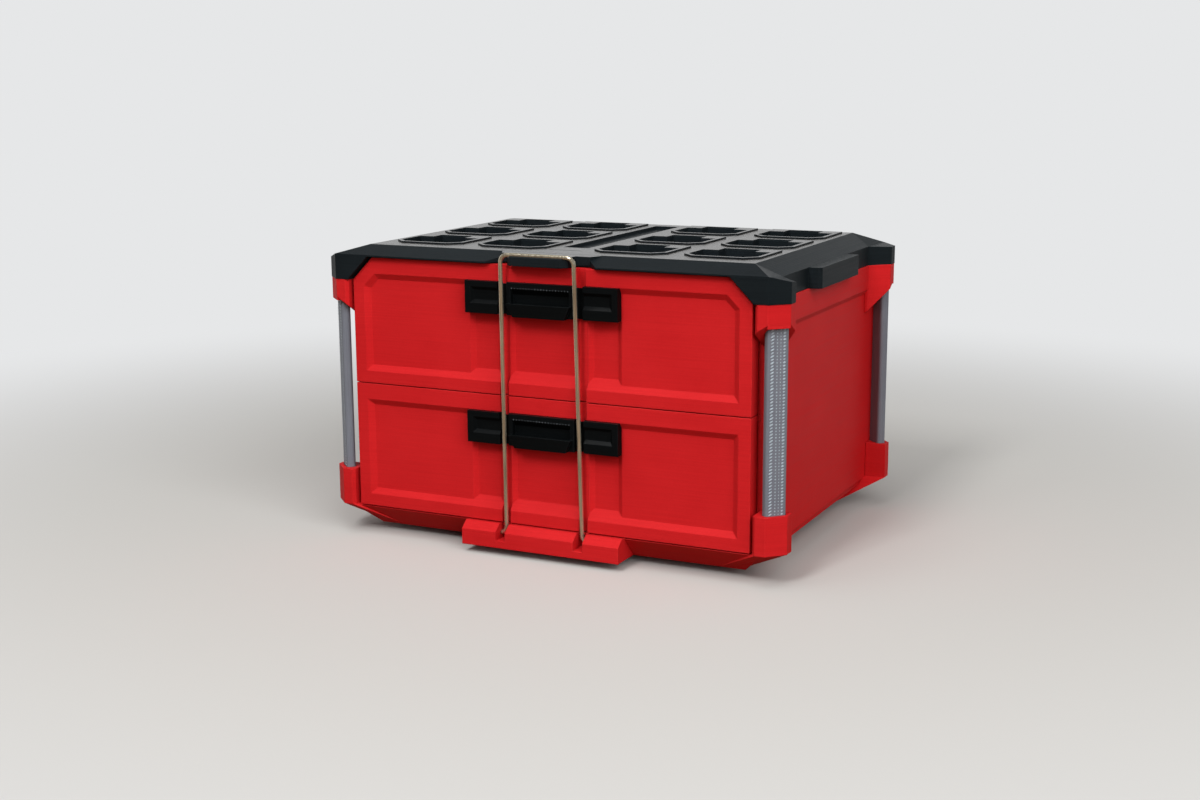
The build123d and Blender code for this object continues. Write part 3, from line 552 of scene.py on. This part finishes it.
# corner facets of the brackets carried down to the posts; the outline is seen from the middle of a post
lips = {
    "outline": ((0.00378, -0.00001), (-0.00081, 0.00458), (-0.00176, 0.00363), (0.00283, -0.00096)),
    "low": 0.0696, "high": 0.0708,
}
lipOutlines = []
for mid, out, _ in postAxes():
    sx, sy = (math.copysign(1, v) for v in (out.x, out.y))
    lip = [(mid.x + sx * a, mid.y + sy * b) for a, b in lips["outline"]]
    lipOutlines.append(lip if sx == sy else lip[::-1])
fixed(prism("bracketLips", lipOutlines, lips, upright, red))
print("bracket lips:", len(lipOutlines))

# floor that keeps the shadow and fades into the pale backdrop; both duller as bounced light
studio = {
    "floor": rgba(196, 194, 190), "floorBounce": rgba(120, 98, 78), "pale": rgba(230, 231, 232),
    "dullFloor": rgba(124, 98, 70), "dull": (0.17, 0.17, 0.17, 1.0), "unlit": (0.0, 0.0, 0.0, 1.0),
    "fadeSpan": (0.12, 0.42), "back": (-0.4345, 0.9007, 0.0), "floorSpan": (-0.06, 0.06),
    "skySpan": (-0.1, 0.6), "skyHeight": (0.24, 0.46), "half": 6.0,
}


def seenRays(f, shown):  # 1 for the camera, and for reflections where the background is shown
    rays = f.add("ShaderNodeLightPath")
    camera, glossy, through = (rays[i] for i in (0, 3, 6))
    return camera.most(glossy.most(through) * shown)


def paleFloor(s):
    f = Finish(bpy.data.materials.new("paleFloor"), "Principled BSDF")
    spot = f.add("ShaderNodeTexCoord")[3]
    seen = seenRays(f, f.dot(spot, s["back"]).ramp(*s["floorSpan"]))
    reach = f.add("ShaderNodeVectorMath", {"operation": "LENGTH"}, {0: spot})[1]
    fade = reach.ramp(*s["fadeSpan"])
    f.feed(f.shader, {
        "Base Color": f.blend(fade, f.blend(seen, s["floorBounce"], s["floor"]), s["unlit"]),
        "Emission Color": f.blend(fade, s["unlit"], f.blend(seen, s["dullFloor"], s["pale"])),
        "Emission Strength": 1.0, "Roughness": 1.0, "Specular IOR Level": 0.0,
    })
    return f.owner


def paleSky(s):
    f = Finish(bpy.data.worlds.new("studio"), "Background")
    spot = f.add("ShaderNodeTexCoord")[0]
    height = f.split(spot)[2]
    seen = seenRays(f, f.dot(spot, s["back"]).ramp(*s["skySpan"]) * (1 - height.ramp(*s["skyHeight"])))
    f.feed(f.shader, {"Color": f.blend(seen, s["dull"], s["pale"]), "Strength": 1.0})
    return f.owner


half = studio["half"]
corners = [(-half, -half, 0), (half, -half, 0), (half, half, 0), (-half, half, 0)]
floor = meshPiece("floor", corners, [], [(0, 1, 2, 3)])
floor.data.materials.append(paleFloor(studio))
scene.world = paleSky(studio)

# soft light from overhead, from the front and from the right, where it leaves no glare on the lid
lamps = {
    "overheadBox": {
        "place": (-0.1, -0.35, 1.12), "aim": (0, 0, 0.03), "size": (0.8, 0.8), "power": 5.0, "glare": True,
    },
    "frontBox": {
        "place": (-0.08, -1.0, 0.95), "aim": (0, 0, 0.04), "size": (0.26, 0.4), "power": 8.4, "glare": True,
    },
    "rightBox": {
        "place": (0.8, -0.65, 0.6), "aim": (0, 0, 0.04), "size": (0.9, 0.9), "power": 10.6, "glare": False,
    },
}
for name, s in lamps.items():
    lamp = bpy.data.lights.new(name, "AREA")
    lamp.shape = "RECTANGLE"
    lamp.size, lamp.size_y = s["size"]
    lamp.energy = s["power"]
    obj = placed(name, lamp)
    obj.location = s["place"]
    obj.visible_glossy = s["glare"]
    obj.rotation_euler = (Vector(s["aim"]) - Vector(s["place"])).to_track_quat("-Z", "Y").to_euler()

# camera, fitted to the photo
view = {
    "place": (0.20997, -0.44822, 0.13795), "yaw": 25.7546, "pitch": 11.6087, "roll": -0.296, "lens": 50.03,
    "sensor": 36.0,
}
yaw, pitch, roll = (math.radians(view[k]) for k in ("yaw", "pitch", "roll"))
ahead = Vector((-math.sin(yaw) * math.cos(pitch), math.cos(yaw) * math.cos(pitch), -math.sin(pitch)))
right = Vector((math.cos(yaw), math.sin(yaw), 0))
upward = right.cross(ahead)
right, upward = (
    math.cos(roll) * right + math.sin(roll) * upward,
    math.cos(roll) * upward - math.sin(roll) * right,
)
camData = bpy.data.cameras.new("camera")
camData.sensor_width = view["sensor"]
camData.lens = view["lens"]
cam = placed("camera", camData)
cam.matrix_world = Matrix.Translation(view["place"]) @ Matrix((right, upward, -ahead)).transposed().to_4x4()
scene.camera = cam
print("stage, lamps and camera set")
